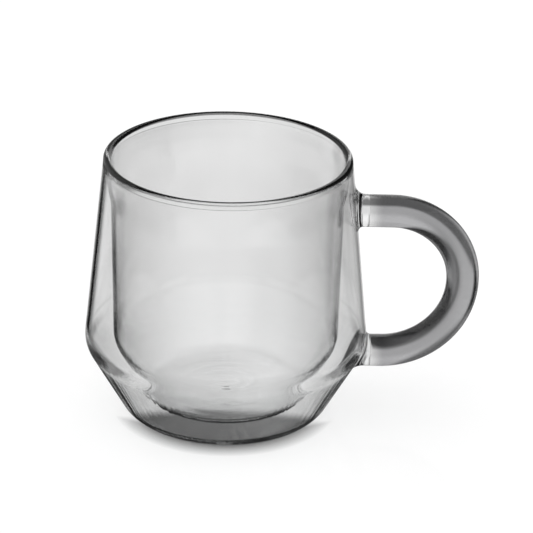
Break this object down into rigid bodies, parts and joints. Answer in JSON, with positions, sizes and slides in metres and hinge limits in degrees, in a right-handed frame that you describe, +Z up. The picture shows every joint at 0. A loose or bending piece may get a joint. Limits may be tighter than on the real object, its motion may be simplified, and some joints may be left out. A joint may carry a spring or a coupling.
{
  "type": "double walled glass cup",
  "caption": "Double walled clear glass cup with a low flared shoulder, a tapered lower body with a rounded base, and a smoke grey rod handle bent into a D.",
  "frame": {"origin": "centre of the underside of the base, on the surface that the cup stands on", "axes": "+Z up along the cup's axis, +X from the axis towards the handle, +Y completes a right-handed frame"},
  "size_m": [0.1341, 0.0966, 0.0925],
  "materials": {
    "clear_glass": "clear, fire polished",
    "smoke_glass": "smoke grey, transparent, fire polished"
  },
  "bodies": {
    "root": {"inner_cup": "clear_glass", "outer_cup": "clear_glass", "rim": "clear_glass", "handle": "smoke_glass", "upper_weld": "clear_glass", "lower_weld": "clear_glass", "vent_seal": "clear_glass"}
  },
  "joints": []
}
